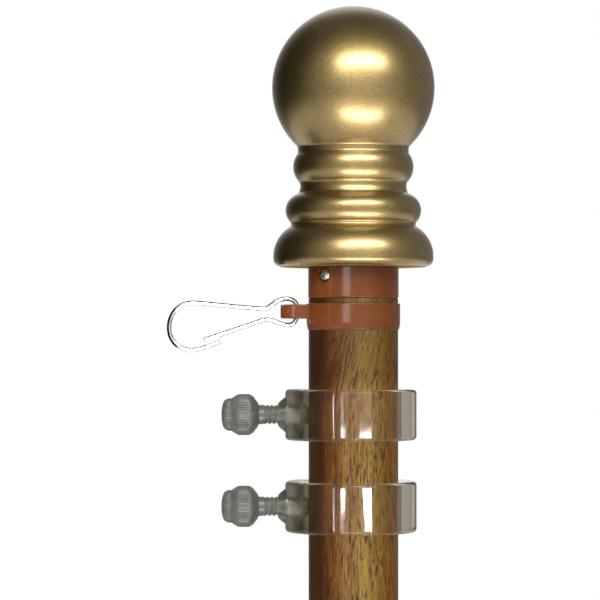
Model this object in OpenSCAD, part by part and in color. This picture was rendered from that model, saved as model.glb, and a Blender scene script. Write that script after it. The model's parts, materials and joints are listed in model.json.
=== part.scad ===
// House flagpole of one-inch tube, about five feet tall.
// From the top: ball finial, collar with its screw, swivel ring with a wire snap clip,
// two clear stop rings with thumb screws, and the tube in two lengths with a foot plug.
// +Z runs up the pole and the origin is the middle of the foot's flat face.
// The ear, the clip and the thumb screws all point along -X.

/* [Pole] */
// Outer diameter of the tube, laminate included
pole_d = 25.4; // [22:0.1:34]
// Wall of the tube, laminate included
tube_wall = 0.8; // [0.5:0.1:1.4]
// Length of the lower tube that shows, from the foot plug's rim to the seam
lower_len = 724; // [300:1:1200]
// Length of the upper tube that shows, from the seam to the collar
upper_len = 715; // [300:1:1200]
// Length of the lower tube's narrowed end, which fits inside the upper tube
swage_len = 60; // [30:1:120]
// Height of the turned-in edge of each tube at the seam
seam_edge = 0.8; // [0.3:0.1:2]

/* [Foot plug] */
// Thickness of the plug's rim under the tube
foot_rim_h = 2; // [1:0.5:5]
// Length of the plug inside the tube
foot_plug_len = 18; // [8:1:40]

/* [Collar and screw] */
// Height of the collar that shows between the tube and the finial
collar_h = 9; // [7.5:0.1:16]
// How far the collar stands out past the tube
collar_proud = 0.16; // [0.1:0.02:1.5]
// Size of the bevel round the collar's lower edge
collar_bevel = 0.6; // [0.2:0.1:0.8]
// Length of the collar inside the tube
collar_plug_len = 18; // [10:1:40]
// Diameter of the screw's head
screw_head_d = 3.9; // [3:0.1:5]
// Diameter of the screw's shank
screw_shank_d = 2.2; // [1.6:0.1:2.6]
// Length of the screw from its seat
screw_len = 5; // [3.5:0.1:7]
// How far the screw's axis lies below the finial
screw_drop = 2.4; // [2.2:0.1:4]
// Turn of the screw from the front, towards -X
screw_turn = 41; // [0:1:180]

/* [Finial] */
// Diameter of the ball
ball_d = 46.2; // [40:0.1:80]
// Diameter of the seat under the ball
seat_d = 31.5; // [30:0.1:33]
// Height of the straight part of that seat
seat_h = 1.3; // [0.5:0.1:6]
// Rounding between the seat and the ball
seat_round = 1.2; // [0.5:0.1:3]
// Diameter of the upper bead
upper_bead_d = 34.2; // [33.5:0.1:42]
// Rounding of the upper bead
upper_bead_round = 6.2; // [5.8:0.1:8]
// Diameter of the neck between the beads
neck_d = 30.7; // [28:0.1:31.2]
// Height of the straight part of the neck
neck_h = 2.5; // [1:0.1:12]
// Rounding between the lower bead and the neck
cove_round = 1; // [0.5:0.1:2]
// Diameter of the lower bead
lower_bead_d = 38.5; // [37:0.1:44]
// Rounding of the lower bead
lower_bead_round = 4.9; // [4.5:0.1:6]
// Height of the lower bead's middle above the finial's underside
lower_bead_rise = 16; // [15:0.1:18]
// Rounding of the fine groove between the lower bead and the base
groove_round = 0.9; // [0.5:0.1:1.5]
// Diameter of the base
base_d = 45.5; // [44:0.1:60]
// Rounding of the bell above the base's widest part
bell_round = 9.7; // [9:0.1:10.5]
// Height of the base's widest part
base_shoulder_h = 3; // [2.5:0.1:4]
// Rounding of the base's lower edge
base_edge = 2.4; // [0.5:0.1:2.4]
// Wall of the ball's shell
shell_wall = 2.5; // [1.5:0.1:4]
// Wall of the shank that goes down inside the collar
shank_wall = 2; // [1:0.1:3]
// Length of that shank
shank_len = 20; // [10:1:26]

/* [Swivel ring] */
// Wall of the ring
swivel_wall = 0.5; // [0.4:0.1:2]
// Height of the ring
swivel_h = 7.5; // [6:0.1:14]
// Space between the collar and the ring
swivel_gap = 1.4; // [1:0.1:4]
// Height of the taper round the ring's lower edge
swivel_taper_h = 1.4; // [0.5:0.1:1.8]
// Thickness of the ear
ear_t = 4; // [3:0.1:4.4]
// Space from the ring's top down to the ear
ear_drop = 0.3; // [0.2:0.1:1.2]
// Width of the ear, which is also the round of its tip
ear_w = 8.4; // [7:0.1:9]
// Distance from the clip's pivot to the tip of the ear
ear_tip = 4.7; // [4:0.1:4.8]
// Diameter of the upright hole in the ear
ear_hole_d = 3.2; // [2.8:0.1:3.6]
// Distance from the ring's outer face to the clip's pivot
pivot_out = 2.7; // [2.5:0.1:3.5]

/* [Snap clip] */
// Diameter of the wire
wire_d = 1.3; // [1:0.05:1.4]
// Space between the clip's wire and the gate's wire at the gate's pivot
gate_gap = 0.2; // [0.1:0.05:0.5]

/* [Clear rings] */
// Wall of a clear ring
ring_wall = 5.1; // [3:0.1:8]
// Space all round between a centred clear ring and the tube
ring_play = 0.85; // [0.5:0.05:1.2]
// Height of a clear ring
ring_h = 14.4; // [12:0.1:24]
// Rounding of the ring's edges
ring_edge = 1.1; // [0.5:0.1:2]
// Distance from the finial down to the middle of the upper ring
upper_ring_drop = 41.9; // [40:0.1:60]
// Distance between the middles of the two rings
ring_pitch = 26; // [26:0.1:900]
// Diameter of the boss where it leaves the ring
boss_base_d = 10; // [8:0.1:11]
// Diameter of the boss at its end
boss_end_d = 5.9; // [5.8:0.1:8]
// How far the boss stands out of the ring
boss_h = 2.05; // [1:0.05:5]

/* [Thumb screws] */
// Diameter of the threaded shank
thread_d = 5.5; // [4.5:0.1:5.5]
// Length of shank that shows between the boss and the knob
thread_show = 5.4; // [1:0.1:9]
// Diameter of the knob
knob_d = 11.64; // [10:0.02:12]
// Length of the knob
knob_len = 10.65; // [10:0.05:16]
// Diameter of the knob's smaller outer end
knob_end_d = 9.2; // [8:0.1:9.6]

/* [Hidden] */
$fn = 96;

// Clearances
slip = 0.05;        // between pieces that are pushed together
running = 0.1;      // between a turning or sliding piece and what guides it
touch = 0.15;       // left where two curved faces bear on each other
eps = 0.01;         // overlap of cutting tools

// Radii of the tube and of what fits in it
pole_r = pole_d / 2;
bore_r = pole_r - tube_wall;
plug_r = bore_r - slip;
seam_turn = tube_wall / 2;
collar_r = pole_r + collar_proud;
collar_bore_r = plug_r - 1;
shank_r = collar_bore_r - slip;
shank_bore_r = shank_r - shank_wall;

// Heights along the pole
seam_z = foot_rim_h + lower_len;
tube_top_z = seam_z + upper_len;
finial_z = tube_top_z + collar_h;
swivel_top_z = tube_top_z - swivel_gap;
ear_z = swivel_top_z - ear_drop - ear_t / 2;
upper_ring_z = finial_z - upper_ring_drop;
lower_ring_z = upper_ring_z - ring_pitch;

// Finial: middles of the rounds of its outline, as [radius, height above its underside].
// Each round meets its neighbours smoothly.
bell_mid = [base_d / 2 - bell_round, base_shoulder_h];
lower_bead_mid = [lower_bead_d / 2 - lower_bead_round, lower_bead_rise];
groove_mid = outer_meet(
    bell_mid, bell_round + groove_round,
    lower_bead_mid, lower_bead_round + groove_round
);
cove_r = neck_d / 2 + cove_round;
cove_mid = [
    cove_r,
    lower_bead_rise + side_of(lower_bead_round + cove_round, cove_r - lower_bead_mid[0])
];
neck_top_z = cove_mid[1] + neck_h;
upper_bead_r = upper_bead_d / 2 - upper_bead_round;
upper_bead_mid = [
    upper_bead_r,
    neck_top_z + side_of(upper_bead_round, neck_d / 2 - upper_bead_r)
];
seat_z = upper_bead_mid[1] + side_of(upper_bead_round, seat_d / 2 - upper_bead_r);
seat_mid = [seat_d / 2 + seat_round, seat_z + seat_h];
ball_z = seat_mid[1] + side_of(ball_d / 2 + seat_round, seat_mid[0]);

// Swivel ring
swivel_bore_r = pole_r + running;
swivel_r = swivel_bore_r + swivel_wall;
pivot_x = -(swivel_r + pivot_out);
ear_hole_x = pivot_x + ear_hole_d / 2 - wire_d / 2 - 0.3;

// Clear rings: the screw pushes the tube against the far side of the bore
ring_bore_r = pole_r + ring_play;
ring_shift = ring_play - touch;
ring_r = ring_bore_r + ring_wall;
ring_face_x = ring_shift + ring_r;
boss_end_x = ring_face_x + boss_h;
tip_x = pole_r + touch;
knob_x = boss_end_x + thread_show;
boss_root = 1;      // how far the boss is rooted in the ring's wall

// Routes of the clip's wire, as [out, up]. The eye goes round the ear, from its pivot in
// the ear's hole, and the rest is placed from the ear's tip.
ear_half = ear_t / 2;
hook_route = [
    [17.4, -8.6], [20.5, -9.8], [23.3, -10.7], [26.5, -10.8], [29.3, -9.6], [31.1, -7.2],
    [31.6, -4.6], [31.2, -2], [29.9, 0.3], [28, 1.8], [25.7, 2.4], [22.8, 2.35],
    [13.8, 1.5], [5.5, 0.8], [3.9, 0.9], [2.5, 1.9]
];
eye_top = [[5.4, 1.1], [3.7, 1.6], [2, 1.55], [0.7, 0.9], [0.08, -0.2], [0, -1.2]];
eye_bottom = [
    [0, -1], [0.15, 0.1], [0.9, 1.2], [2, 1.75], [3.4, 1.75], [5.4, 1.15], [7.4, 0.4], [8.8, 0.2]
];
gate_route = [[4.1, -2.2], [5.3, -2.5], [8.6, -3.7], [14.3, -5.6], [18.8, -7.1], [21.5, -8]];

eye_reach = ear_tip - 4.7;
clip_route = concat(
    [for (p = hook_route) p + [ear_tip, 0]],
    [for (p = eye_top) [p[0] + eye_reach * min(p[0] / 3, 1), ear_half + p[1]]],
    [for (p = eye_bottom) [p[0] + eye_reach * min(p[0] / 3, 1), -ear_half - p[1]]]
);
wire_sides = 12;
wire_steps = 3;

// The other short side of a right triangle
function side_of(longest, side) = sqrt(longest * longest - side * side);

// The outer point that lies ra from a and rb from b, where b is above a
function outer_meet(a, ra, b, rb) =
    let (
        span = norm(b - a),
        u = (b - a) / span,
        along = (ra * ra - rb * rb + span * span) / (2 * span)
    )
    a + along * u + side_of(ra, along) * [u[1], -u[0]];

// A point on the smooth curve through p, at share t of the stretch after point i
function curve_point(p, i, t) =
    let (
        last = len(p) - 1,
        a = p[max(i - 1, 0)],
        b = p[i],
        c = p[min(i + 1, last)],
        d = p[min(i + 2, last)]
    )
    0.5 * (2 * b + (c - a) * t + (2 * a - 5 * b + 4 * c - d) * t * t
        + (3 * b - a - 3 * c + d) * t * t * t);

// The whole smooth curve through p
function smooth_route(p) = concat(
    [for (i = [0 : len(p) - 2]) for (s = [0 : wire_steps - 1]) curve_point(p, i, s / wire_steps)],
    [p[len(p) - 1]]
);

function unit(v) = v / norm(v);

// Direction of route p at its point i
function heading(p, i) = unit(p[min(i + 1, len(p) - 1)] - p[max(i - 1, 0)]);

// One ring of points round a wire lying in the XZ plane
function wire_ring(centre, along, radius) = [
    for (k = [0 : wire_sides - 1])
        let (a = 360 * k / wire_sides)
        [
            -centre[0] + radius * cos(a) * along[1],
            radius * sin(a),
            centre[1] + radius * cos(a) * along[0]
        ]
];

// A round wire along a route, with slightly rounded ends
module wire(route) {
    p = smooth_route(route);
    n = len(p);
    r = wire_d / 2;
    nose = r * 0.4;
    first = heading(p, 0);
    last = heading(p, n - 1);
    rings = concat(
        [wire_ring(p[0] - first * nose, first, r * 0.6)],
        [for (i = [0 : n - 1]) wire_ring(p[i], heading(p, i), r)],
        [wire_ring(p[n - 1] + last * nose, last, r * 0.6)]
    );
    m = len(rings);
    points = [for (ring = rings) for (q = ring) q];
    sides = [
        for (j = [0 : m - 2]) for (k = [0 : wire_sides - 1])
            let (
                a = j * wire_sides + k,
                b = j * wire_sides + (k + 1) % wire_sides
            )
            each [[a, a + wire_sides, b], [b, a + wire_sides, b + wire_sides]]
    ];
    start_cap = [[for (k = [0 : wire_sides - 1]) k]];
    end_cap = [[for (k = [wire_sides - 1 : -1 : 0]) (m - 1) * wire_sides + k]];
    polyhedron(points, concat(sides, start_cap, end_cap), convexity = 10);
}

// Turns a shape that points along +Z to point along -X, from the pole's axis at height z
module point_out(z) {
    translate([0, 0, z])
        rotate([0, -90, 0])
            children();
}

// Half outline of the bell-shaped base, the lower bead and the neck above it
module base_outline() {
    base_r = base_d / 2;
    difference() {
        union() {
            square([base_r - base_edge, base_shoulder_h]);
            translate([0, base_edge])
                square([base_r, base_shoulder_h - base_edge]);
            translate([base_r - base_edge, base_edge])
                circle(base_edge);
            intersection() {
                translate(bell_mid)
                    circle(bell_round);
                translate([0, base_shoulder_h])
                    square([base_r, bell_round]);
            }
            polygon([
                [0, base_shoulder_h],
                bell_mid,
                groove_mid,
                lower_bead_mid,
                [0, lower_bead_rise]
            ]);
            translate(lower_bead_mid)
                circle(lower_bead_round);
            polygon([
                [0, lower_bead_rise],
                lower_bead_mid,
                cove_mid,
                [0, cove_mid[1]]
            ]);
        }
        translate(groove_mid)
            circle(groove_round);
        translate(cove_mid)
            circle(cove_round);
    }
}

// Half outline of the neck, the upper bead, the seat and the ball
module ball_outline() {
    square([neck_d / 2, neck_top_z]);
    intersection() {
        translate(upper_bead_mid)
            circle(upper_bead_round);
        translate([0, neck_top_z])
            square([upper_bead_d, seat_z - neck_top_z]);
    }
    square([seat_d / 2 - upper_bead_round / 2, upper_bead_mid[1] + seat_h]);
    translate([0, seat_z])
        square([seat_d / 2, seat_h]);
    difference() {
        polygon([[0, seat_mid[1]], seat_mid, [0, ball_z]]);
        translate(seat_mid)
            circle(seat_round);
    }
    translate([0, ball_z])
        circle(d = ball_d);
}

module finial_outline() {
    intersection() {
        union() {
            base_outline();
            ball_outline();
        }
        square([base_d + ball_d, ball_z + ball_d]);
    }
}

// Moves a shape from the screw's own frame, where +Z leads out of the collar, to its place
module at_screw() {
    translate([0, 0, finial_z - screw_drop])
        rotate([0, 0, -90 - screw_turn])
            rotate([0, 90, 0])
                children();
}

screw_seat_r = collar_r - 0.9;

module finial() {
    color("darkkhaki")
        difference() {
            translate([0, 0, finial_z])
                difference() {
                    union() {
                        rotate_extrude()
                            finial_outline();
                        translate([0, 0, -shank_len])
                            cylinder(h = shank_len + base_shoulder_h, r = shank_r);
                    }
                    translate([0, 0, -shank_len - eps])
                        cylinder(h = shank_len + ball_z, r = shank_bore_r);
                    translate([0, 0, ball_z])
                        sphere(r = ball_d / 2 - shell_wall);
                }
            at_screw()
                cylinder(h = collar_r, r = screw_shank_d / 2 + slip);
        }
}

module collar() {
    color("sienna")
        difference() {
            union() {
                translate([0, 0, tube_top_z + collar_bevel])
                    cylinder(h = collar_h - collar_bevel, r = collar_r);
                translate([0, 0, tube_top_z])
                    cylinder(h = collar_bevel, r1 = collar_r - collar_bevel, r2 = collar_r);
                translate([0, 0, tube_top_z - collar_plug_len])
                    cylinder(h = collar_plug_len + eps, r = plug_r);
            }
            translate([0, 0, tube_top_z - collar_plug_len - eps])
                cylinder(h = collar_plug_len + collar_h + 2 * eps, r = collar_bore_r);
            at_screw()
                cylinder(h = collar_r + 1, r = screw_shank_d / 2 + slip);
            at_screw()
                translate([0, 0, screw_seat_r])
                    cylinder(h = 3, r = screw_head_d / 2 + 0.15);
        }
}

module collar_screw() {
    head_h = 1.4;
    dome_r = (pow(screw_head_d / 2, 2) + pow(head_h, 2)) / (2 * head_h);
    recess_w = 0.55;
    recess_l = 2.3;
    color("silver")
        at_screw()
            difference() {
                union() {
                    translate([0, 0, screw_seat_r - screw_len])
                        cylinder(h = screw_len + 0.2, r = screw_shank_d / 2);
                    intersection() {
                        translate([0, 0, screw_seat_r + head_h - dome_r])
                            sphere(r = dome_r);
                        translate([0, 0, screw_seat_r])
                            cylinder(h = head_h + 1, r = screw_head_d / 2);
                    }
                }
                for (turn = [20, 110])
                    translate([0, 0, screw_seat_r + head_h])
                        rotate([0, 0, turn])
                            cube([recess_l, recess_w, 1.6], center = true);
            }
}

module swivel_ring() {
    tip_centre_x = pivot_x - ear_tip + ear_w / 2;
    color("peru")
        difference() {
            union() {
                translate([0, 0, swivel_top_z - swivel_h + swivel_taper_h])
                    cylinder(h = swivel_h - swivel_taper_h, r = swivel_r);
                translate([0, 0, swivel_top_z - swivel_h])
                    cylinder(h = swivel_taper_h, r1 = swivel_r - 0.6 * swivel_wall, r2 = swivel_r);
                translate([0, 0, ear_z - ear_t / 2])
                    linear_extrude(ear_t) {
                        translate([tip_centre_x, 0])
                            circle(d = ear_w);
                        translate([tip_centre_x, -ear_w / 2])
                            square([-tip_centre_x, ear_w]);
                    }
            }
            translate([0, 0, swivel_top_z - swivel_h - eps])
                cylinder(h = swivel_h + 2 * eps, r = swivel_bore_r);
            translate([ear_hole_x, 0, ear_z - ear_t])
                cylinder(h = 2 * ear_t, d = ear_hole_d);
        }
}

module snap_clip() {
    color("lightgray")
        translate([pivot_x, 0, ear_z])
            wire(clip_route);
}

// The gate starts a small gap after the end of the clip's wire
module snap_gate() {
    start = gate_route[0];
    lead = unit(gate_route[1] - start) * (gate_gap + wire_d * 0.4);
    bends = [for (i = [1 : len(gate_route) - 1]) gate_route[i]];
    color("gainsboro")
        translate([pivot_x - ear_tip, 0, ear_z])
            wire(concat([start + lead], bends));
}

// A clear ring whose screw's axis is at height z
module clear_ring(z) {
    rim = ring_r - ring_edge;
    flare = (boss_base_d - boss_end_d) / 2 / boss_h;
    difference() {
        union() {
            translate([-ring_shift, 0, z - ring_h / 2])
                rotate_extrude() {
                    square([rim, ring_h]);
                    translate([0, ring_edge])
                        square([ring_r, ring_h - 2 * ring_edge]);
                    translate([rim, ring_edge])
                        circle(ring_edge);
                    translate([rim, ring_h - ring_edge])
                        circle(ring_edge);
                }
            point_out(z)
                translate([0, 0, ring_face_x - boss_root])
                    cylinder(
                        h = boss_root + boss_h,
                        r1 = boss_base_d / 2 + flare * boss_root,
                        r2 = boss_end_d / 2
                    );
        }
        translate([-ring_shift, 0, z - ring_h])
            cylinder(h = 2 * ring_h, r = ring_bore_r);
        point_out(z)
            cylinder(h = boss_end_x + 1, r = thread_d / 2 + running);
    }
}

// A thumb screw whose axis is at height z
module thumb_screw(z) {
    r = knob_d / 2;
    end_r = knob_end_d / 2;
    shank_r = thread_d / 2;
    knob_top = knob_x + knob_len;
    point_out(z)
        rotate_extrude()
            polygon(concat(
                [
                    [0, tip_x],
                    [shank_r - 0.7, tip_x],
                    [shank_r, tip_x + 0.7],
                    [shank_r, knob_x],
                    [shank_r + 1, knob_x + 0.5],
                    [r - 0.95, knob_x + 1.2],
                    [r - 0.35, knob_x + 1.9],
                    [r, knob_x + 2.7],
                    [r, knob_x + 6],
                    [end_r + 0.1, knob_x + 7.5],
                    [end_r, knob_x + 8.3]
                ],
                [for (a = [15 : 15 : 90]) [end_r * cos(a), knob_x + 8.3 + (knob_top - knob_x - 8.3) * sin(a)]]
            ));
}

module upper_clear_ring() {
    color("whitesmoke")
        clear_ring(upper_ring_z);
}

module upper_thumb_screw() {
    color("lightsteelblue")
        thumb_screw(upper_ring_z);
}

module lower_clear_ring() {
    color("whitesmoke")
        clear_ring(lower_ring_z);
}

module lower_thumb_screw() {
    color("lightsteelblue")
        thumb_screw(lower_ring_z);
}

// Both tubes are turned in a little at the seam, so it shows as a fine groove
module upper_pole() {
    color("darkgoldenrod")
        difference() {
            union() {
                translate([0, 0, seam_z + seam_edge])
                    cylinder(h = upper_len - seam_edge, r = pole_r);
                translate([0, 0, seam_z])
                    cylinder(h = seam_edge, r1 = pole_r - seam_turn, r2 = pole_r);
            }
            translate([0, 0, seam_z - eps])
                cylinder(h = upper_len + 2 * eps, r = bore_r);
        }
}

// The lower tube's top end is narrowed to slide into the upper tube
module lower_pole() {
    color("darkgoldenrod")
        difference() {
            union() {
                translate([0, 0, foot_rim_h])
                    cylinder(h = lower_len - seam_edge, r = pole_r);
                translate([0, 0, seam_z - seam_edge])
                    cylinder(h = seam_edge, r1 = pole_r, r2 = pole_r - seam_turn);
                translate([0, 0, seam_z - eps])
                    cylinder(h = swage_len + eps, r = plug_r);
            }
            translate([0, 0, foot_rim_h - eps])
                cylinder(h = lower_len - 3, r = bore_r);
            translate([0, 0, foot_rim_h])
                cylinder(h = lower_len + swage_len + eps, r = plug_r - tube_wall);
        }
}

module foot_plug() {
    rim_r = pole_r - 0.2;
    color("saddlebrown")
        difference() {
            union() {
                cylinder(h = foot_rim_h, r = rim_r);
                cylinder(h = foot_rim_h + foot_plug_len, r = plug_r);
            }
            translate([0, 0, foot_rim_h])
                cylinder(h = foot_plug_len + eps, r = plug_r - 1.6);
        }
}

finial();
collar();
collar_screw();
swivel_ring();
snap_clip();
snap_gate();
upper_clear_ring();
upper_thumb_screw();
lower_clear_ring();
lower_thumb_screw();
upper_pole();
lower_pole();
foot_plug();
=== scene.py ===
import json
import math

import bmesh
import bpy
from mathutils import Matrix, Vector


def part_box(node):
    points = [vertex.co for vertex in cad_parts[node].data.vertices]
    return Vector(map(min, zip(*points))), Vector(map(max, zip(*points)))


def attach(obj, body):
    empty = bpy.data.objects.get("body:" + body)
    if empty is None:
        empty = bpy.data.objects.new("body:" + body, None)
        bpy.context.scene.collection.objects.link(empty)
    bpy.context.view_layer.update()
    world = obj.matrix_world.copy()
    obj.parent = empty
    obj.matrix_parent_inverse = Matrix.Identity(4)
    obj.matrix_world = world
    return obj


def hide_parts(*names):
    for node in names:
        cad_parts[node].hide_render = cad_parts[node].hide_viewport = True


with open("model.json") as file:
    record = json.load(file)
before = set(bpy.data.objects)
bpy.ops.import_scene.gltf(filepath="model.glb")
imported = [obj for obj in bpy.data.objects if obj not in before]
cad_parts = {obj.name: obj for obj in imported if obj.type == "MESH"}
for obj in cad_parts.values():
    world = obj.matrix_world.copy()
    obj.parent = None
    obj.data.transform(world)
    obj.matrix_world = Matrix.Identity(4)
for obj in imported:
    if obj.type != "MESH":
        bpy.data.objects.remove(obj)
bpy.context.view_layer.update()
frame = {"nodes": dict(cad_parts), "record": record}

# The object's sizes are in millimetres, and MM turns them into metres. The studio's are in metres.
MM = 0.001
SEGMENTS = 192             # flats round a turned piece
MERGE = 0.004              # points closer than this are merged after a cut
SAME_POINT = 1e-7          # in metres: corners of a new mesh that are one point
ON_AXIS = 1e-6             # an outline's point this near the axis is a single corner


# ---------------------------------------------------------------- places from the frame
def box_mm(node):
    """A node's lowest and highest corners."""
    low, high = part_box(node)
    return low / MM, high / MM


def joint_place(name):
    for joint in frame["record"]["behaviour"]["joints"]:
        if joint["name"] == name:
            return joint["pos_m"]


collar_low, collar_high = box_mm("collar")
swivel_low, swivel_high = box_mm("swivel_ring")
upper_low, upper_high = box_mm("upper_pole")
lower_low, lower_high = box_mm("lower_pole")
plug_high = box_mm("foot_plug")[1]

FINIAL_Z = collar_high.z
TUBE_TOP_Z = upper_high.z
SEAM_Z = upper_low.z
POLE_R = upper_high.x
WALL = 0.8
BORE_R = POLE_R - WALL
PLUG_R = BORE_R - 0.05
COLLAR_R = collar_high.x
COLLAR_BORE_R = PLUG_R - 1
SWIVEL_R = swivel_high.x
SWIVEL_BORE_R = POLE_R + 0.1


# ---------------------------------------------------------------- mesh helpers
def arc(middle, radius, start, end, steps):
    """Points of a round stretch of an outline, from angle start to end in degrees."""
    points = []
    for i in range(steps + 1):
        a = math.radians(start + (end - start) * i / steps)
        points.append((middle[0] + radius * math.cos(a), middle[1] + radius * math.sin(a)))
    return points


def angle_to(a, b):
    """Direction in degrees from a to b."""
    return math.degrees(math.atan2(b[1] - a[1], b[0] - a[0]))


def stretch(a, b, steps):
    """Evenly spaced points on the straight line from a to b, without b."""
    return [
        (a[0] + (b[0] - a[0]) * i / steps, a[1] + (b[1] - a[1]) * i / steps)
        for i in range(steps)
    ]


def shade(mesh, sharp):
    """Shades a mesh smooth, apart from edges that turn by more than this many degrees."""
    mesh.shade_smooth()
    mesh.set_sharp_from_angle(angle=math.radians(sharp))


def add_mesh(name, bm):
    """Uses up a bmesh and gives the new object."""
    mesh = bpy.data.meshes.new(name)
    bm.to_mesh(mesh)
    bm.free()
    piece = bpy.data.objects.new(name, mesh)
    bpy.context.scene.collection.objects.link(piece)
    return piece


def finish_mesh(name, bm, sharp=40):
    bmesh.ops.remove_doubles(bm, verts=bm.verts, dist=SAME_POINT)
    bmesh.ops.recalc_face_normals(bm, faces=bm.faces)
    piece = add_mesh(name, bm)
    shade(piece.data, sharp)
    return piece


def supported(outline, closed):
    """Adds points close to both ends of each long straight, so that it shades as straight."""
    long, inset = 0.8, 0.06
    points = []
    for i, a in enumerate(outline):
        points.append(a)
        if i + 1 == len(outline) and not closed:
            break
        b = outline[(i + 1) % len(outline)]
        length = math.dist(a, b)
        if length > long:
            for share in (inset / length, 1 - inset / length):
                points.append((a[0] + (b[0] - a[0]) * share, a[1] + (b[1] - a[1]) * share))
    return points


def lathe(name, outline, closed=False, segments=SEGMENTS, radius=None, place=None, sharp=40):
    """Turns an outline of (radius, height) points round Z. radius(r, h, angle) may vary it."""
    bm = bmesh.new()
    outline = supported(outline, closed)
    rows = []
    for r, h in outline:
        if r < ON_AXIS:
            rows.append([bm.verts.new((0, 0, h * MM))])
            continue
        row = []
        for k in range(segments):
            a = 2 * math.pi * k / segments
            out = radius(r, h, a) if radius else r
            row.append(bm.verts.new((out * math.cos(a) * MM, out * math.sin(a) * MM, h * MM)))
        rows.append(row)
    pairs = list(zip(rows, rows[1:]))
    if closed:
        pairs.append((rows[-1], rows[0]))
    for low, high in pairs:
        for k in range(segments):
            n = (k + 1) % segments
            corners = [low[k % len(low)], low[n % len(low)], high[n % len(high)], high[k % len(high)]]
            corners = list(dict.fromkeys(corners))      # a row on the axis gives its one corner twice
            if len(corners) > 2:
                bm.faces.new(corners)
    if place is not None:
        bm.transform(place)
    return finish_mesh(name, bm, sharp)


def combine(piece, tool, how, sharp=40):
    """Joins tool to piece or cuts it away, removes the tool and merges points that all but meet."""
    step = piece.modifiers.new("combine", "BOOLEAN")
    step.operation = how
    step.object = tool
    step.solver = "EXACT"
    graph = bpy.context.evaluated_depsgraph_get()
    mesh = bpy.data.meshes.new_from_object(piece.evaluated_get(graph))
    piece.modifiers.clear()
    piece.data = mesh
    bm = bmesh.new()
    bm.from_mesh(mesh)
    bmesh.ops.remove_doubles(bm, verts=bm.verts, dist=MERGE * MM)
    bmesh.ops.dissolve_degenerate(bm, edges=bm.edges, dist=MERGE * MM)
    bm.to_mesh(mesh)
    bm.free()
    shade(mesh, sharp)
    bpy.data.objects.remove(tool)


def level_shading(piece):
    """Lets the large faces of a cut piece set how it shades."""
    step = piece.modifiers.new("level_shading", "WEIGHTED_NORMAL")
    step.keep_sharp = True


def rounded_ring(inner, outer, low, high, edge, inner_edge):
    """Closed outline of a ring with rounded edges."""
    return (
        arc((outer - edge, low + edge), edge, -90, 0, 6)
        + arc((outer - edge, high - edge), edge, 0, 90, 6)
        + arc((inner + inner_edge, high - inner_edge), inner_edge, 90, 180, 3)
        + arc((inner + inner_edge, low + inner_edge), inner_edge, 180, 270, 3)
    )


def point_out(height):
    """Turns a shape made along +Z to point along -X from the pole's axis at this height."""
    return Matrix.Translation((0, 0, height * MM)) @ Matrix.Rotation(math.radians(-90), 4, "Y")


def set_material(piece, material):
    piece.data.materials.clear()
    piece.data.materials.append(material)


def wear(piece, material, body, slot, *nodes):
    """Gives a piece its material and the body it moves with, and hides the CAD nodes it stands for. The
    slot is not used.
    """
    set_material(piece, material)
    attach(piece, body)
    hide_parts(*nodes)


# ---------------------------------------------------------------- node helpers
class Nodes:
    """A node tree that is built one call at a time. A value is a number, a colour or a socket."""

    def __init__(self, tree):
        self.tree = tree

    def add(self, kind, inputs=None, **settings):
        made = self.tree.nodes.new("ShaderNode" + kind)
        for key, value in settings.items():
            setattr(made, key, value)
        for key, value in (inputs or {}).items():
            if isinstance(value, bpy.types.NodeSocket):
                self.tree.links.new(value, made.inputs[key])
            else:
                made.inputs[key].default_value = value
        return made

    def math(self, operation, a, b=0.0, c=0.0):
        return self.add("Math", {0: a, 1: b, 2: c}, operation=operation).outputs[0]

    def spread(self, value, start, end, low, high):
        """Turns the range from start to end into the range from low to high."""
        return self.add("MapRange", {0: value, 1: start, 2: end, 3: low, 4: high}).outputs[0]

    def ramp(self, value, *stops, smooth=False):
        """Turns a value into a colour. A stop is a place and a colour or a grey."""
        made = self.add("ValToRGB", {"Fac": value})
        ramp = made.color_ramp
        ramp.interpolation = "EASE" if smooth else "LINEAR"
        while len(ramp.elements) < len(stops):
            ramp.elements.new(0.5)
        for element, (at, colour) in zip(ramp.elements, stops):
            element.position = at
            element.color = colour if isinstance(colour, tuple) else (colour, colour, colour, 1)
        return made.outputs["Color"]

    def mix(self, share, a, b, blend="MIX"):
        made = self.add("Mix", {0: share, 6: a, 7: b}, data_type="RGBA", blend_type=blend)
        return made.outputs[2]

    def round_share(self, x, y):
        """Where x, y lies round the pole: 0 and 1 behind, 0.25 left, 0.5 in front, 0.75 right."""
        angle = self.math("ARCTAN2", x, self.math("MULTIPLY", y, -1.0))
        return self.math("MULTIPLY_ADD", angle, 1 / (2 * math.pi), 0.5)

    def sharp_ray(self):
        """1 for a ray that only glossy and clear surfaces have sent on, and 0 for the rest."""
        ray = self.add("LightPath").outputs
        sent = self.math("MAXIMUM", ray["Is Glossy Ray"], ray["Is Transmission Ray"])
        return self.math("GREATER_THAN", self.math("SUBTRACT", sent, ray["Diffuse Depth"]), 0.5)


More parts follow.
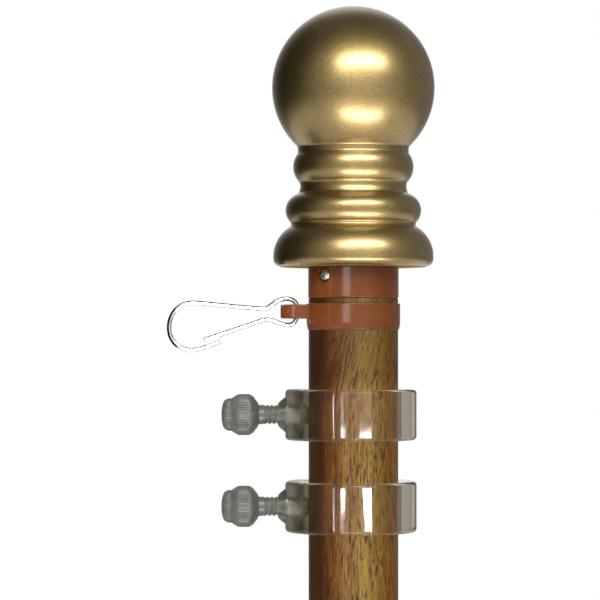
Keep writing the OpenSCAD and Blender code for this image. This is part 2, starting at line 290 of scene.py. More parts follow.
class Paint(Nodes):
    """A material. The shader's sockets are set by name, with _ for each space. One that is
    driven by nodes as well keeps its plain value for viewers that can't draw the nodes."""

    def __init__(self, name, **shader):
        self.material = bpy.data.materials.new(name)
        self.material.use_nodes = True
        super().__init__(self.material.node_tree)
        self.shader = self.tree.nodes["Principled BSDF"]
        self.output = self.tree.nodes["Material Output"]
        for socket, value in shader.items():
            self.shader.inputs[socket.replace("_", " ")].default_value = value

    def point(self):
        """The point on the surface, in metres."""
        return self.add("TexCoord").outputs["Object"]

    def part(self, axis):
        """The x, y or z of the point on the surface, in metres."""
        return self.add("SeparateXYZ", {0: self.point()}).outputs["XYZ".index(axis)]

    def scaled(self, where, x, y, z):
        """A point with each part multiplied by its own scale."""
        return self.add("Mapping", {"Vector": where, "Scale": (x, y, z)}).outputs[0]

    def noise(self, where, scale, detail=2.0, rough=0.5):
        inputs = {"Vector": where, "Scale": scale, "Detail": detail, "Roughness": rough}
        return self.add("TexNoise", inputs).outputs["Fac"]

    def drive(self, socket, value):
        self.tree.links.new(value, self.shader.inputs[socket])

    def bump(self, height, depth_mm, strength=1.0):
        made = self.add("Bump", {"Height": height, "Distance": depth_mm * MM, "Strength": strength})
        self.drive("Normal", made.outputs[0])


def srgb(red, green, blue):
    """A colour named by its 0 to 255 display values, as the linear values that nodes use."""
    def linear(v):
        v /= 255
        return v / 12.92 if v <= 0.04045 else ((v + 0.055) / 1.055) ** 2.4
    return (linear(red), linear(green), linear(blue), 1)


# ---------------------------------------------------------------- materials
def make_gold():
    """Satin metallic coat with fine flakes. The flat underside is left without lacquer."""
    paint = Paint(
        "gold", Metallic=1.0, Roughness=0.34,
        Coat_Weight=1.0, Coat_Roughness=0.3, Coat_IOR=1.8,
    )
    where = paint.point()
    flakes = paint.noise(where, 3200, detail=3, rough=0.7)
    cloud = paint.noise(where, 90, detail=3)
    base = paint.ramp(
        flakes,
        (0.28, srgb(124, 99, 36)),
        (0.5, srgb(154, 129, 56)),
        (0.72, srgb(188, 164, 92)),
    )
    warm = paint.ramp(cloud, (0.35, srgb(238, 226, 205)), (0.65, (1, 1, 1, 1)))
    paint.drive("Base Color", paint.mix(1.0, base, warm, "MULTIPLY"))
    rough = paint.spread(flakes, 0.3, 0.7, 0.3, 0.42)
    coated_from = FINIAL_Z + 0.05
    coated = paint.math("GREATER_THAN", paint.part("Z"), coated_from * MM)
    paint.drive("Roughness", paint.spread(coated, 0, 1, 0.9, rough))
    paint.drive("Coat Weight", coated)
    paint.bump(flakes, 0.02, 0.5)
    return paint.material


def make_brown():
    """Glossy moulded plastic with a slight speckle."""
    paint = Paint("brown_plastic", Roughness=0.17, Specular_IOR_Level=0.28)
    where = paint.point()
    speck = paint.noise(where, 2600, rough=0.7)
    cloud = paint.noise(where, 160, detail=3)
    base = paint.ramp(
        speck,
        (0.3, srgb(124, 68, 34)),
        (0.58, srgb(135, 76, 38)),
        (0.85, srgb(160, 102, 62)),
    )
    duller = paint.ramp(cloud, (0.35, srgb(232, 226, 222)), (0.65, (1, 1, 1, 1)))
    paint.drive("Base Color", paint.mix(1.0, base, duller, "MULTIPLY"))
    paint.bump(speck, 0.012, 0.4)
    return paint.material


# Broad streaks of the laminate, by their place round the pole (see round_share), with a painted
# highlight in front.
# The lighter stops from 0.475 to 0.6 add a painted highlight to the print's own streaks; the stops at
# the left are darker.
STREAKS_AND_PAINTED_HIGHLIGHT = (
    (0.0, srgb(124, 84, 24)),
    (0.12, srgb(138, 96, 30)),
    (0.2, srgb(110, 68, 22)),
    (0.26, srgb(84, 54, 20)),
    (0.32, srgb(72, 54, 30)),
    (0.365, srgb(68, 46, 16)),
    (0.39, srgb(100, 62, 22)),
    (0.415, srgb(128, 84, 28)),
    (0.445, srgb(138, 96, 36)),
    (0.475, srgb(156, 122, 66)),
    (0.505, srgb(156, 122, 54)),
    (0.535, srgb(170, 142, 68)),
    (0.565, srgb(158, 130, 54)),
    (0.6, srgb(152, 116, 38)),
    (0.645, srgb(142, 98, 28)),
    (0.69, srgb(154, 112, 36)),
    (0.76, srgb(128, 86, 28)),
    (0.9, srgb(112, 70, 22)),
    (1.0, srgb(124, 84, 24)),
)
GRAIN_LEAN = 13            # degrees that the upper stretch of print leans by
PAINTED_SHADE_OVER = 4            # height over which the painted shade above the upper clear ring sets in


def make_laminate(lean_from):
    """Wood-grain laminate: broad streaks with a painted highlight in front, fine grain, red-brown veins
    and short dark dashes.
    Above the height lean_from all but its streaks leans, and a painted shade darkens the print there."""
    paint = Paint("wood_grain", Roughness=0.4, Specular_IOR_Level=0.3)
    where = paint.point()
    x, y, z = paint.add("SeparateXYZ", {0: where}).outputs
    above = paint.math("MAXIMUM", paint.math("SUBTRACT", z, lean_from * MM), 0.0)
    turn_per_metre = -math.tan(math.radians(GRAIN_LEAN)) / (POLE_R * MM)
    turn = paint.math("MULTIPLY", above, turn_per_metre)
    laid = paint.add("VectorRotate", {"Vector": where, "Angle": turn}, rotation_type="Z_AXIS").outputs[0]

    def printed(across, along, detail, rough=0.5):
        """Noise in patches of about this width and length in millimetres."""
        scale = (1 / (across * MM), 1 / (across * MM), 1 / (along * MM))
        return paint.noise(paint.scaled(laid, *scale), 1.0, detail, rough)

    wobble = paint.math("SUBTRACT", printed(9, 60, 2), 0.5)
    share = paint.math("MULTIPLY_ADD", wobble, 0.05, paint.round_share(x, y))
    # Broad streaks, with their painted highlight in front.
    base = paint.ramp(share, *STREAKS_AND_PAINTED_HIGHLIGHT)

    grain = printed(1.1, 30, 4, 0.65)
    tone = paint.ramp(
        grain,
        (0.3, srgb(206, 188, 172)),
        (0.5, srgb(240, 236, 230)),
        (0.7, (1.08, 1.06, 1.0, 1)),
    )
    base = paint.mix(1.0, base, tone, "MULTIPLY")
    # Painted shade: the print is made darker above the upper clear ring.
    painted_shade_above = paint.spread(above, 0, PAINTED_SHADE_OVER * MM, 1.0, 0.71)
    base = paint.mix(1.0, base, painted_shade_above, "MULTIPLY")
    fine = paint.ramp(printed(0.22, 5, 2), (0.3, srgb(214, 204, 194)), (0.6, (1.06, 1.05, 1, 1)))
    base = paint.mix(1.0, base, fine, "MULTIPLY")

    veins = paint.ramp(printed(0.8, 12, 3), (0.5, 0.0), (0.62, 1.0))
    veined = paint.ramp(share, (0.3, 0.3), (0.4, 0.9), (0.46, 0.6), (0.5, 0.2), (0.8, 0.35))
    base = paint.mix(paint.math("MULTIPLY", veins, veined), base, srgb(72, 34, 12))

    dashes = paint.ramp(printed(0.38, 3.2, 1), (0.55, 0.0), (0.592, 1.0))
    clusters = paint.ramp(printed(3.2, 12, 1), (0.34, 0.35), (0.5, 1.0))
    marks = paint.math("MULTIPLY", dashes, clusters)
    base = paint.mix(paint.math("MULTIPLY", marks, 0.85), base, srgb(66, 29, 12))
    paint.drive("Base Color", base)
    paint.bump(paint.math("SUBTRACT", grain, marks), 0.01, 0.5)
    return paint.material


def make_clear():
    """Clear moulded plastic with faint flow ripples. The end of the boss is duller."""
    paint = Paint(
        "clear_plastic", Roughness=0.05, IOR=1.49, Transmission_Weight=1.0,
        Specular_Tint=(0.5, 0.5, 0.5, 1),
    )
    boss_root, boss_tip = -12.8, -15.5
    boss = paint.spread(paint.part("X"), boss_root * MM, boss_tip * MM, 0, 1)
    paint.drive("Base Color", paint.mix(boss, srgb(252, 247, 240), srgb(206, 206, 196)))
    tint = paint.add("VolumeAbsorption", {"Color": (0.62, 0.56, 0.42, 1), "Density": 82.0})
    paint.tree.links.new(tint.outputs[0], paint.output.inputs["Volume"])
    scuffs = paint.noise(paint.point(), 900, detail=4, rough=0.7)
    rough = paint.spread(scuffs, 0.4, 0.75, 0.03, 0.1)
    paint.drive("Roughness", paint.spread(boss, 0, 1, rough, 0.3))
    ripples = paint.noise(paint.scaled(paint.point(), 1, 1, 0.12), 420)
    paint.bump(ripples, 0.03, 0.25)
    return paint.material


def make_frosted():
    """Milky translucent plastic of the thumb screws."""
    paint = Paint("frosted_plastic", Roughness=0.34, IOR=1.49, Transmission_Weight=0.4)
    where = paint.point()
    mottle = paint.noise(where, 500, detail=3)
    base = paint.ramp(mottle, (0.35, srgb(118, 120, 108)), (0.65, srgb(140, 140, 132)))
    paint.drive("Base Color", base)
    paint.bump(paint.noise(where, 2500), 0.01, 0.4)
    return paint.material


def make_wire():
    """Bright plated spring wire with faint drawing marks."""
    paint = Paint("wire_chrome", Metallic=1.0, Roughness=0.1)
    marks = paint.noise(paint.scaled(paint.point(), 0.15, 1, 1), 4000)
    base = paint.ramp(marks, (0.3, srgb(228, 229, 232)), (0.7, srgb(248, 248, 250)))
    paint.drive("Base Color", base)
    paint.drive("Roughness", paint.spread(marks, 0.3, 0.7, 0.06, 0.18))
    return paint.material


def make_steel():
    """Plated steel of the collar's screw."""
    paint = Paint("screw_steel", Metallic=1.0, Roughness=0.25)
    marks = paint.noise(paint.point(), 2400, detail=3)
    base = paint.ramp(marks, (0.3, srgb(176, 172, 164)), (0.7, srgb(225, 223, 216)))
    paint.drive("Base Color", base)
    paint.drive("Roughness", paint.spread(marks, 0.3, 0.7, 0.16, 0.34))
    paint.bump(marks, 0.01, 0.4)
    return paint.material


def make_plug_plastic():
    """Dull textured plastic of the foot plug."""
    paint = Paint("plug_plastic", Roughness=0.5)
    texture = paint.noise(paint.point(), 1800, detail=4, rough=0.7)
    base = paint.ramp(texture, (0.3, srgb(62, 40, 26)), (0.7, srgb(88, 58, 38)))
    paint.drive("Base Color", base)
    paint.bump(texture, 0.03, 0.6)
    return paint.material


# ---------------------------------------------------------------- finial
def side_of(longest, side):
    """The third side of a right-angled triangle."""
    return math.sqrt(longest * longest - side * side)


def outer_meet(a, ra, b, rb):
    """The outer point that lies ra from a and rb from b, where b is above a."""
    span = math.dist(a, b)
    ux, uz = (b[0] - a[0]) / span, (b[1] - a[1]) / span
    along = (ra * ra - rb * rb + span * span) / (2 * span)
    out = side_of(ra, along)
    return (a[0] + along * ux + out * uz, a[1] + along * uz - out * ux)


def make_finial(material):
    """The turned finial. Its outline runs from the shank's end up to the top of the ball."""
    ball_r = 23.1
    base_r, base_edge = 22.75, 2.4
    bell_round, bell_h = 9.7, 3.0
    lower_r, lower_round, lower_h = 19.25, 4.9, 16.0
    upper_r, upper_round = 17.1, 6.2
    groove_round, cove_round, seat_round = 0.9, 1.0, 1.2
    neck_r, neck_h, hollow_turn = 15.35, 2.5, 23
    seat_r, seat_h = 15.75, 1.3
    shank_r, shank_length, shank_edge = COLLAR_BORE_R - 0.05, 20, 0.5

    # The middle of each round, as a radius and a height
    edge = (base_r - base_edge, base_edge)
    bell = (base_r - bell_round, bell_h)
    lower = (lower_r - lower_round, lower_h)
    groove = outer_meet(bell, bell_round + groove_round, lower, lower_round + groove_round)
    cove_out = neck_r + cove_round
    cove = (cove_out, lower[1] + side_of(lower_round + cove_round, cove_out - lower[0]))
    hollow_r = neck_h / 2 / math.sin(math.radians(hollow_turn))
    hollow = (neck_r + hollow_r * math.cos(math.radians(hollow_turn)), cove[1] + neck_h / 2)
    upper_out = upper_r - upper_round
    upper = (upper_out, cove[1] + neck_h + side_of(upper_round, neck_r - upper_out))
    seat_z = upper[1] + side_of(upper_round, seat_r - upper_out)
    seat = (seat_r + seat_round, seat_z + seat_h)
    ball = (0, seat[1] + side_of(ball_r + seat_round, seat[0]))

    outline = [(0, -shank_length), (shank_r - shank_edge, -shank_length)]
    outline += [(shank_r, shank_edge - shank_length), (shank_r, 0)]
    outline += stretch((shank_r, 0), (edge[0], 0), 4)[1:]
    outline += arc(edge, base_edge, -90, 0, 12)
    outline += arc(bell, bell_round, 0, angle_to(bell, groove), 28)
    outline += arc(groove, groove_round, angle_to(groove, bell) + 360, angle_to(groove, lower), 8)[1:]
    outline += arc(lower, lower_round, angle_to(lower, groove), angle_to(lower, cove), 32)[1:]
    outline += arc(cove, cove_round, angle_to(cove, lower) + 360, 180, 8)[1:]
    outline += arc(hollow, hollow_r, 180 + hollow_turn, 180 - hollow_turn, 10)[1:-1]
    start = -math.degrees(math.acos((neck_r - upper[0]) / upper_round))
    end = math.degrees(math.acos((seat_r - upper[0]) / upper_round))
    outline += arc(upper, upper_round, start, end, 28)
    outline += stretch((seat_r, seat_z), (seat_r, seat[1]), 3)[1:]
    outline += arc(seat, seat_round, 180, angle_to(seat, ball), 8)
    outline += arc(ball, ball_r, angle_to(ball, seat), 90, 72)[1:-1]
    outline.append((0, ball[1] + ball_r))
    piece = lathe("finial_turned", outline, place=Matrix.Translation((0, 0, FINIAL_Z * MM)), sharp=60)
    wear(piece, material, "pole", "gold", "finial")


# ---------------------------------------------------------------- collar, screw and swivel ring
SCREW_DROP = 2.4           # from the finial's underside down to the screw's axis
SCREW_TURN = 41            # degrees from the front towards -X


def make_collar(material):
    """The collar, with a stepped well round its screw."""
    low, edge, top_edge = TUBE_TOP_Z, 0.5, 0.25
    outline = [
        (COLLAR_BORE_R, collar_low.z),
        (PLUG_R, collar_low.z),
        (PLUG_R, low),
    ]
    outline += arc((COLLAR_R - edge, low + edge), edge, -90, 0, 6)
    outline += arc((COLLAR_R - top_edge, FINIAL_Z - top_edge), top_edge, 0, 90, 4)
    outline.append((COLLAR_BORE_R, FINIAL_Z))
    piece = lathe("collar_moulding", outline, closed=True)
    turn = Matrix.Rotation(math.radians(-90 - SCREW_TURN), 4, "Z")
    out = Matrix.Rotation(math.radians(90), 4, "Y")
    at = Matrix.Translation((0, 0, (FINIAL_Z - SCREW_DROP) * MM)) @ turn @ out
    shank_r, head_r, mouth_r = 1.15, 2.1, 2.5
    inside, seat, outside = 4, COLLAR_R - 0.9, 16
    well = [(0, inside), (shank_r, inside), (shank_r, seat), (head_r, seat)]
    well += [(head_r, COLLAR_R - 0.25), (mouth_r, COLLAR_R + 0.3), (mouth_r, outside), (0, outside)]
    combine(piece, lathe("well", well, segments=48, place=at), "DIFFERENCE")
    level_shading(piece)
    wear(piece, material, "pole", "brown_plastic", "collar")


def ear_outline(half, inset, steps=24):
    """Outline of the ear seen from above: a round tip at -X and straight sides up to the axis."""
    middle = swivel_low.x + half
    points = arc((middle, 0), half - inset, 90, 270, steps)
    return points + [(0, inset - half), (0, half - inset)]


def make_ear(top, thick):
    """The swivel ring's ear with soft edges and its flared upright hole."""
    soft, half = 0.55, 4.2
    rounding = []
    for a in range(0, 91, 15):
        turned = math.radians(a)
        rounding.append((soft - soft * math.cos(turned), soft - soft * math.sin(turned)))
    rows = [(top - thick + up, inset) for up, inset in rounding]
    rows += [(top - up, inset) for up, inset in reversed(rounding)]
    bm = bmesh.new()
    loops = []
    for z, inset in rows:
        loops.append([bm.verts.new((x * MM, y * MM, z * MM)) for x, y in ear_outline(half, inset)])
    for a, b in zip(loops, loops[1:]):
        for k in range(len(a)):
            n = (k + 1) % len(a)
            bm.faces.new([a[k], a[n], b[n], b[k]])
    bm.faces.new(loops[0])
    bm.faces.new(loops[-1])
    ear = finish_mesh("ear", bm)
    hole_r, hole_x, flare = 1.6, -15.35, 0.4
    wide, under = hole_r + flare, top - thick
    hole = [(0, under - 1), (wide, under - 1), (wide, under), (hole_r, under + flare)]
    hole += [(hole_r, top - flare), (wide, top), (wide, top + 1), (0, top + 1)]
    place = Matrix.Translation((hole_x * MM, 0, 0))
    combine(ear, lathe("hole", hole, segments=48, place=place), "DIFFERENCE")
    return ear


def make_swivel(material):
    """The swivel ring, slightly tapered below, joined to its ear and then bored."""
    low, high, edge, deep = swivel_low.z, swivel_high.z, 0.28, SWIVEL_R - 3
    ear_drop, ear_thick = 0.3, 4.0
    outline = [(deep, low), (SWIVEL_R - 0.45, low), (SWIVEL_R - 0.3, low + 0.2)]
    outline += [(SWIVEL_R - 0.1, low + 1.2), (SWIVEL_R, low + 1.9)]
    outline += arc((SWIVEL_R - edge, high - edge), edge, 0, 90, 5)
    outline.append((deep, high))
    ring = lathe("swivel_ring_moulding", outline, closed=True)
    combine(ring, make_ear(high - ear_drop, ear_thick), "UNION")
    core = [(0, low - 1), (SWIVEL_BORE_R, low - 1), (SWIVEL_BORE_R, high + 1), (0, high + 1)]
    combine(ring, lathe("core", core), "DIFFERENCE")
    level_shading(ring)
    wear(ring, material, "swivel", "brown_plastic", "swivel_ring")


# ---------------------------------------------------------------- clear rings and thumb screws
RING_BORE_R = POLE_R + 0.85


def make_clear_ring(node, body, material):
    """A clear ring with a stepped, conical boss for its thumb screw."""
    low, high = box_mm(node)
    ring_r = high.y
    middle_x = high.x - ring_r
    z = (low.z + high.z) / 2
    outline = rounded_ring(RING_BORE_R, ring_r, low.z, high.z, edge=1.1, inner_edge=0.25)
    place = Matrix.Translation((middle_x * MM, 0, 0))
    ring = lathe(node + "_moulding", outline, closed=True, place=place)
    root, end = ring_r - middle_x - 1.5, -low.x
    wide_r, step_r, end_r = 5.6, 5.0, 2.95
    boss = [(0, root), (wide_r, root), (wide_r, end - 2.4), (step_r, end - 2.05)]
    boss += [(end_r + 1.2, end - 0.95), (end_r + 0.45, end - 0.2), (end_r + 0.1, end), (0, end)]
    combine(ring, lathe("boss", boss, segments=96, place=point_out(z)), "UNION", 30)
    hole_r, inside = 2.85, 5
    hole = [(0, inside), (hole_r, inside), (hole_r, end + 1), (0, end + 1)]
    combine(ring, lathe("hole", hole, segments=64, place=point_out(z)), "DIFFERENCE", 30)
    level_shading(ring)
    ring.visible_shadow = False         # the tube inside is lit as if the ring weren't there
    ring.visible_diffuse = False
    wear(ring, material, body, "clear_plastic", node)


def make_thumb_screw(node, body, material):
    """A thumb screw along Z, then laid along -X: a threaded shank, a ridged knob and a domed end."""
    low, high = box_mm(node)
    z = (low.z + high.z) / 2
    tip, end = -high.x, -low.x
    knob_length, dome_from = 10.65, 9.35
    knob = end - knob_length
    thread_r, thread_depth, pitch, tip_edge = 2.75, 0.38, 1.25, 0.7
    big_r, small_r, dome_r = 5.82, 4.6, 4.3
    ridges, ridge_depth, ridge_from, ridge_to = 44, 0.2, 2.2, 9.2

    outline = [(0, tip), (thread_r - tip_edge, tip)]
    outline += stretch((thread_r, tip + tip_edge), (thread_r, knob), 110) + [(thread_r, knob)]
    outline += [(thread_r + 1, knob + 0.5), (big_r - 1.5, knob + 1.0), (big_r - 0.7, knob + 1.55)]
    outline += [(big_r - 0.25, knob + 2.2), (big_r - 0.06, knob + 2.6), (big_r, knob + 2.9)]
    outline += stretch((big_r, knob + 3.1), (big_r, knob + 5.8), 4)
    outline += [(big_r - 0.03, knob + 5.8), (big_r - 0.2, knob + 6.2), (small_r + 0.35, knob + 7.3)]
    outline += [(small_r + 0.05, knob + 7.7), (small_r, knob + 8.1), (small_r, knob + 8.6)]
    outline += [(small_r - 0.1, knob + 9.0), (dome_r, knob + dome_from)]
    for degrees in range(12, 90, 13):
        a = math.radians(degrees)
        rise = (knob_length - dome_from) * math.sin(a)
        outline.append((dome_r * math.cos(a), knob + dome_from + rise))
    outline.append((0, end))

    def shaped(r, h, a):
        """The radius at this height and angle, with the thread or the ridges cut in."""
        if h < knob:
            fade = max(0, min(1, (h - tip) / 0.8, (knob - 0.9 - h) / 1.2))
            return r - thread_depth * fade * (0.5 + 0.5 * math.cos(2 * math.pi * h / pitch - a))
        if h < knob + ridge_from or h > knob + ridge_to:
            return r
        fade = min(1, (h - knob - ridge_from) / 0.6, (knob + ridge_to - h) / 0.6)
        return r - ridge_depth * fade * (0.5 + 0.5 * math.cos(ridges * a))

    name = node + "_moulding"
    screw = lathe(name, outline, segments=ridges * 6, radius=shaped, place=point_out(z))
    wear(screw, material, body, "frosted_plastic", node)


# ---------------------------------------------------------------- snap clip
WIRE_R = 0.65
WIRE_END = ((0.14, 0.88), (0.24, 0.62))     # how far past the end, and the share of the radius

# Points of each wire's middle line, as (out, up) from the clip's pivot
CLIP_ROUTE = (
    (22.1, -8.6), (25.2, -9.8), (28, -10.7), (31.2, -10.8), (34, -9.6), (35.8, -7.2),
    (36.3, -4.6), (35.9, -2), (34.6, 0.3), (32.7, 1.8), (30.4, 2.4), (27.5, 2.35),
    (18.5, 1.5), (10.2, 0.8), (8.6, 0.9), (7.2, 1.9), (5.4, 3.1), (3.7, 3.6), (2, 3.55),
    (0.7, 2.9), (0.08, 1.8), (0, 0.8), (0, -1), (0.15, -1.9), (0.9, -3.2), (2, -3.75),
    (3.4, -3.75), (5.4, -3.15), (7.4, -2.4), (8.8, -2.2),
)
GATE_ROUTE = ((9.24, -2.31), (10, -2.5), (13.3, -3.7), (19, -5.6), (23.5, -7.1), (26.2, -8))


def smooth_route(route, steps=10):
    """The smooth (Catmull-Rom) curve through the points of a route."""
    curve = []
    last = len(route) - 1
    for i in range(last):
        a, b, c, d = (Vector(route[min(max(j, 0), last)]) for j in range(i - 1, i + 3))
        for step in range(steps):
            t = step / steps
            bend = (2 * a - 5 * b + 4 * c - d) * t * t + (3 * b - a - 3 * c + d) * t ** 3
            curve.append((2 * b + (c - a) * t + bend) / 2)
    return curve + [Vector(route[last])]


def make_wire_piece(name, route, material, body, node, sides=24):
    """A round wire along a route of (out, up) from the clip's pivot, with rounded ends."""
    pivot = Vector(joint_place("clip_swing")) / MM
    path = [Vector((pivot.x - out, 0, pivot.z + up)) for out, up in smooth_route(route)]
    bm = bmesh.new()
    rings = []

    def add_ring(middle, along, radius):
        across = Vector((-along.z, 0, along.x))
        ring = []
        for k in range(sides):
            a = 2 * math.pi * k / sides
            spot = middle + across * radius * math.cos(a) + Vector((0, radius * math.sin(a), 0))
            ring.append(bm.verts.new(spot * MM))
        rings.append(ring)

    last = len(path) - 1
    for i, spot in enumerate(path):
        along = (path[min(i + 1, last)] - path[max(i - 1, 0)]).normalized()
        if i == 0:
            for past, share in reversed(WIRE_END):
                add_ring(spot - along * past, along, WIRE_R * share)
        add_ring(spot, along, WIRE_R)
        if i == last:
            for past, share in WIRE_END:
                add_ring(spot + along * past, along, WIRE_R * share)
    for low, high in zip(rings, rings[1:]):
        for k in range(sides):
            n = (k + 1) % sides
            bm.faces.new([low[k], low[n], high[n], high[k]])
    bm.faces.new(rings[0])
    bm.faces.new(rings[-1])
    piece = finish_mesh(name, bm)
    wear(piece, material, body, "wire_chrome", node)


# ---------------------------------------------------------------- tubes and foot plug
def make_tubes(material):
    """Both tube lengths. Their outer edges are rolled in where they meet."""
    half, edge, soft = WALL / 2, 0.8, 0.1
    rolled = ((POLE_R - half, 0), (POLE_R - half * 0.35, edge * 0.3), (POLE_R, edge))
    upper = [(BORE_R, SEAM_Z)] + [(r, SEAM_Z + up) for r, up in rolled]
    upper += stretch((POLE_R, SEAM_Z + edge), (POLE_R, TUBE_TOP_Z), 12)[1:]
    upper += [(POLE_R, TUBE_TOP_Z - soft), (POLE_R - soft, TUBE_TOP_Z), (BORE_R, TUBE_TOP_Z)]
    piece = lathe("upper_tube", upper, closed=True)
    wear(piece, material, "pole", "wood_grain", "upper_pole")

    foot, top, lead, neck = lower_low.z, lower_high.z, 0.3, 3
    lower = [(BORE_R, foot), (POLE_R - soft, foot), (POLE_R, foot + soft)]
    lower += stretch((POLE_R, foot + soft), (POLE_R, SEAM_Z - edge), 12)[1:]
    lower += [(r, SEAM_Z - down) for r, down in reversed(rolled)]
    lower += [(PLUG_R, SEAM_Z), (PLUG_R, top - lead), (PLUG_R - lead, top), (PLUG_R - WALL, top)]
    lower += [(PLUG_R - WALL, SEAM_Z - neck), (BORE_R, SEAM_Z - neck)]
    piece = lathe("lower_tube", lower, closed=True)
    wear(piece, material, "pole", "wood_grain", "lower_pole")


def make_foot_plug(material):
    """A cup with a rim that closes the lower tube."""
    rim_r, rim_h, inner_r = plug_high.x, lower_low.z, PLUG_R - 1.6
    foot_edge, rim_edge, lead = 0.6, 0.2, 0.4
    outline = [(0, 0)]
    outline += arc((rim_r - foot_edge, foot_edge), foot_edge, -90, 0, 6)
    outline += arc((rim_r - rim_edge, rim_h - rim_edge), rim_edge, 0, 90, 3)
    outline += [(PLUG_R, rim_h), (PLUG_R, plug_high.z - lead), (PLUG_R - lead, plug_high.z)]
    outline += [(inner_r, plug_high.z), (inner_r, rim_h), (0, rim_h)]
    piece = lathe("foot_plug_moulding", outline, segments=96)
    wear(piece, material, "pole", "plug_plastic", "foot_plug")


def dress(node, material):
    """Keeps a CAD node and gives it its finish."""
    piece = frame["nodes"][node]
    set_material(piece, material)


# ---------------------------------------------------------------- the object
gold = make_gold()
brown = make_brown()
laminate = make_laminate(box_mm("upper_clear_ring")[1].z)
clear = make_clear()
frosted = make_frosted()
wire = make_wire()

make_finial(gold)
make_collar(brown)
dress("collar_screw", make_steel())
make_swivel(brown)
make_wire_piece("clip_wire", CLIP_ROUTE, wire, "clip", "snap_clip")
make_wire_piece("gate_wire", GATE_ROUTE, wire, "gate", "snap_gate")
for level in ("upper", "lower"):
    make_clear_ring(level + "_clear_ring", level + "_ring", clear)
    make_thumb_screw(level + "_thumb_screw", level + "_screw", frosted)
make_tubes(laminate)
make_foot_plug(make_plug_plastic())


# ---------------------------------------------------------------- studio
# From here on, lengths are in metres. An azimuth is in degrees, 0 being the camera's side and
# 90 the right, and an elevation is in degrees above level.
BALL_MIDDLE = Vector((0, 0, 1.501))
VIEW_DISTANCE = 0.8
FRONT_WIDTH = 0.1703       # width that the camera takes in at the pole's axis


def way_to(azimuth, elevation=0.0):
    """The direction from the pole to this side."""
    a, e = math.radians(azimuth), math.radians(elevation)
    return Vector((math.sin(a) * math.cos(e), -math.cos(a) * math.cos(e), math.sin(e)))


def lamp_at(kind, name, strength, azimuth, elevation, **settings):
    """A lamp on this side, 1 m from the middle of the ball, that shines on it."""
    data = bpy.data.lights.new(name, kind)
    data.energy = strength
    for key, value in settings.items():
        setattr(data, key, value)
    lamp = bpy.data.objects.new(name, data)
    bpy.context.scene.collection.objects.link(lamp)
    back = way_to(azimuth, elevation)
    lamp.location = BALL_MIDDLE + back
    lamp.rotation_mode = "QUATERNION"
    lamp.rotation_quaternion = back.to_track_quat("Z", "Y")
    return lamp


def softbox(name, radiance, azimuth, elevation, width, height):
    """A rectangular lamp that only shows in reflections."""
    power = radiance * math.pi * width * height
    size = {"shape": "RECTANGLE", "size": width, "size_y": height}
    lamp = lamp_at("AREA", name, power, azimuth, elevation, **size)
    lamp.visible_camera = False
    lamp.visible_diffuse = False
    lamp.visible_transmission = False


def sun(name, strength, azimuth, elevation):
    """Wide soft light that shows in no reflection."""
    lamp = lamp_at("SUN", name, strength, azimuth, elevation, angle=math.radians(30))
    lamp.visible_glossy = False
    lamp.visible_transmission = False


def panel(name, radiance, corners, shown_on=None, through=False):
    """A flat panel that glows or is black, and shows on all pieces or on some.
    It is seen only in reflections, or only through clear pieces."""
    bm = bmesh.new()
    bm.faces.new([bm.verts.new(corner) for corner in corners])
    piece = add_mesh(name, bm)
    glow = bpy.data.materials.new(name)
    glow.use_nodes = True
    glow.node_tree.nodes.clear()
    nodes = Nodes(glow.node_tree)
    light = nodes.add("Emission", {"Strength": radiance})
    nodes.add("OutputMaterial", {0: light.outputs[0]})
    piece.data.materials.append(glow)
    piece.visible_camera = False
    piece.visible_diffuse = False
    piece.visible_glossy = not through
    piece.visible_transmission = through
    piece.visible_shadow = False
    if shown_on:
        piece.light_linking.receiver_collection = shown_on


def card(name, radiance, azimuth, distance, width, low, high, shown_on, through=False, slant=0):
    """An upright glowing panel at this side of the pole, from the height low to the height high.
    Slant is the share of its foot that is cut off at the left."""
    middle = way_to(azimuth) * distance
    side = way_to(azimuth + 90) * width / 2
    ends = [middle - side, middle + side]
    corners = [ends[i] + Vector((0, 0, z)) for z, i in ((low, 0), (low, 1), (high, 1), (high, 0))]
    corners[0] += 2 * slant * side
    panel(name, radiance, corners, shown_on, through)


def wire_flags():
    """Small black flags, left of the clip and above it, that give the bright wire its dark lines."""
    left, front, front_end, back = -0.0565, -0.0108, -0.0533, 0.014
    low, high = 1.419, 1.444

    def upright(name, a, b):
        panel(name, 0, [(*a, low), (*b, low), (*b, high), (*a, high)])

    upright("left_flag", (left, front), (left, back))
    upright("front_flag", (left, front), (front_end, front))
    near, right = -0.0013, -0.0245
    around = ((left, near), (right, near), (right, back), (left, back))
    panel("upper_flag", 0, [(*corner, high) for corner in around])


def group_of(name, *pieces):
    """A collection of pieces that a panel can be shown on."""
    group = bpy.data.collections.new(name)
    for piece in pieces:
        group.objects.link(bpy.data.objects[piece])
    return group


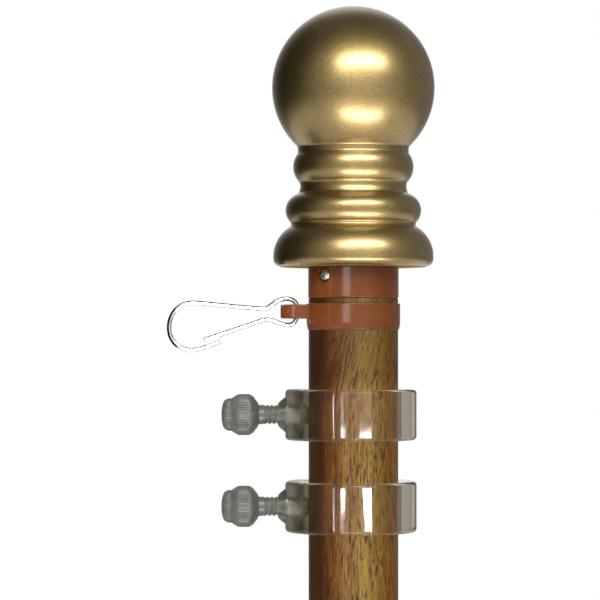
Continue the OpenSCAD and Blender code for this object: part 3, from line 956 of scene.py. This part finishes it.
def make_world():
    """White for the camera, even grey light on matt surfaces, and a softly lit room elsewhere."""
    world = bpy.data.worlds.new("studio")
    world.use_nodes = True
    world.cycles.sampling_method = "NONE"
    world.node_tree.nodes.clear()
    bpy.context.scene.world = world
    nodes = Nodes(world.node_tree)
    x, y, z = nodes.add("SeparateXYZ", {0: nodes.add("TexCoord").outputs["Generated"]}).outputs
    sides = nodes.ramp(
        nodes.round_share(x, y),
        (0.0, 1.0), (0.025, 0.8), (0.07, 0.2), (0.14, 0.02), (0.26, 0.03), (0.36, 0.35),
        (0.47, 1.0), (0.55, 1.0), (0.67, 0.45), (0.75, 0.25), (0.84, 0.25), (0.93, 0.2),
        (0.975, 0.8), (1.0, 1.0), smooth=True,
    )
    up = nodes.math("MULTIPLY_ADD", z, 0.5, 0.5)
    ends = nodes.ramp(up, (0.0, 0.55), (0.5, 0.55), (0.51, 0.12), (1.0, 0.12), smooth=True)
    at_ends = nodes.ramp(up, (0.1, 1.0), (0.28, 0.0), (0.8, 0.0), (0.95, 1.0), smooth=True)
    room = nodes.mix(at_ends, sides, ends)
    even_light, backdrop = (0.3, 0.3, 0.3, 1), (1, 1, 1, 1)
    colour = nodes.mix(nodes.sharp_ray(), even_light, room)
    from_camera = nodes.add("LightPath").outputs["Is Camera Ray"]
    colour = nodes.mix(from_camera, colour, backdrop)
    background = nodes.add("Background", {0: colour})
    nodes.add("OutputWorld", {0: background.outputs[0]})


def make_floor():
    """A plain pale disc, which mirrors and clear pieces see as pale as the backdrop."""
    bm = bmesh.new()
    bmesh.ops.create_circle(bm, cap_ends=True, segments=64, radius=4)
    floor = add_mesh("floor", bm)
    paint = Paint("floor", Roughness=0.9)
    texture = paint.noise(paint.point(), 3.0)
    paint.drive("Base Color", paint.ramp(texture, (0.3, 0.86), (0.7, 0.89)))
    glow = paint.add("Emission", {"Strength": 0.8})
    both = {0: paint.sharp_ray(), 1: paint.shader.outputs[0], 2: glow.outputs[0]}
    shown = paint.add("MixShader", both)
    paint.tree.links.new(shown.outputs[0], paint.output.inputs[0])
    floor.data.materials.append(paint.material)


def make_camera():
    """The camera looks slightly up at the collar from a little below the swivel ring."""
    data = bpy.data.cameras.new("camera")
    data.sensor_width = 36
    data.lens = data.sensor_width * VIEW_DISTANCE / FRONT_WIDTH
    data.clip_start, data.clip_end = 0.05, 20
    camera = bpy.data.objects.new("camera", data)
    bpy.context.scene.collection.objects.link(camera)
    middle_x, below_finial, below_swivel = -0.01515, 0.0094, 0.006
    target = Vector((middle_x, 0, FINIAL_Z * MM - below_finial))
    eye = Vector((middle_x, -VIEW_DISTANCE, swivel_low.z * MM - below_swivel))
    camera.location = eye
    camera.rotation_mode = "QUATERNION"
    camera.rotation_quaternion = (target - eye).to_track_quat("-Z", "Y")
    bpy.context.scene.camera = camera


# name, radiance, azimuth, elevation, width, height
softbox("upper_softbox", 20, 12, 33.5, 1.15, 0.17)
softbox("lower_softbox", 21, 13, -44, 1.0, 0.12)

# name, strength, azimuth, elevation
sun("key", 2.2, -12, 22)
sun("right_fill", 0.3, 60, 10)
sun("back_fill", 1.5, 165, 20)

# name, radiance, azimuth, distance, width, heights of foot and top, pieces that show it.
# The left lamp stands a little nearer than the band, so that it covers it.
plastic = group_of("moulded_parts", "collar_moulding", "swivel_ring_moulding")
rings = group_of("clear_rings", "upper_clear_ring_moulding", "lower_clear_ring_moulding")
card("collar_line", 4, -61, 0.5, 0.02, 1.43, 1.475, plastic)
card("collar_band", 9, -18, 0.5, 0.16, 1.43, 1.475, plastic)
card("ring_line", 32, -31, 0.5, 0.016, 1.33, 1.408, rings)
card("ring_band", 9, -16, 0.5, 0.05, 1.33, 1.408, rings)
card("left_lamp", 60, -15, 0.49, 0.07, 1.355, 1.391, rings)
card("right_lamp", 75, 23.4, 0.5, 0.2, 1.343, 1.3896, rings, slant=0.52)
card("ring_glow", 0.52, 150, 0.5, 0.46, 1.2, 1.55, rings, through=True)

wire_flags()
make_world()
make_floor()
make_camera()

bpy.context.scene.view_settings.view_transform = "Standard"
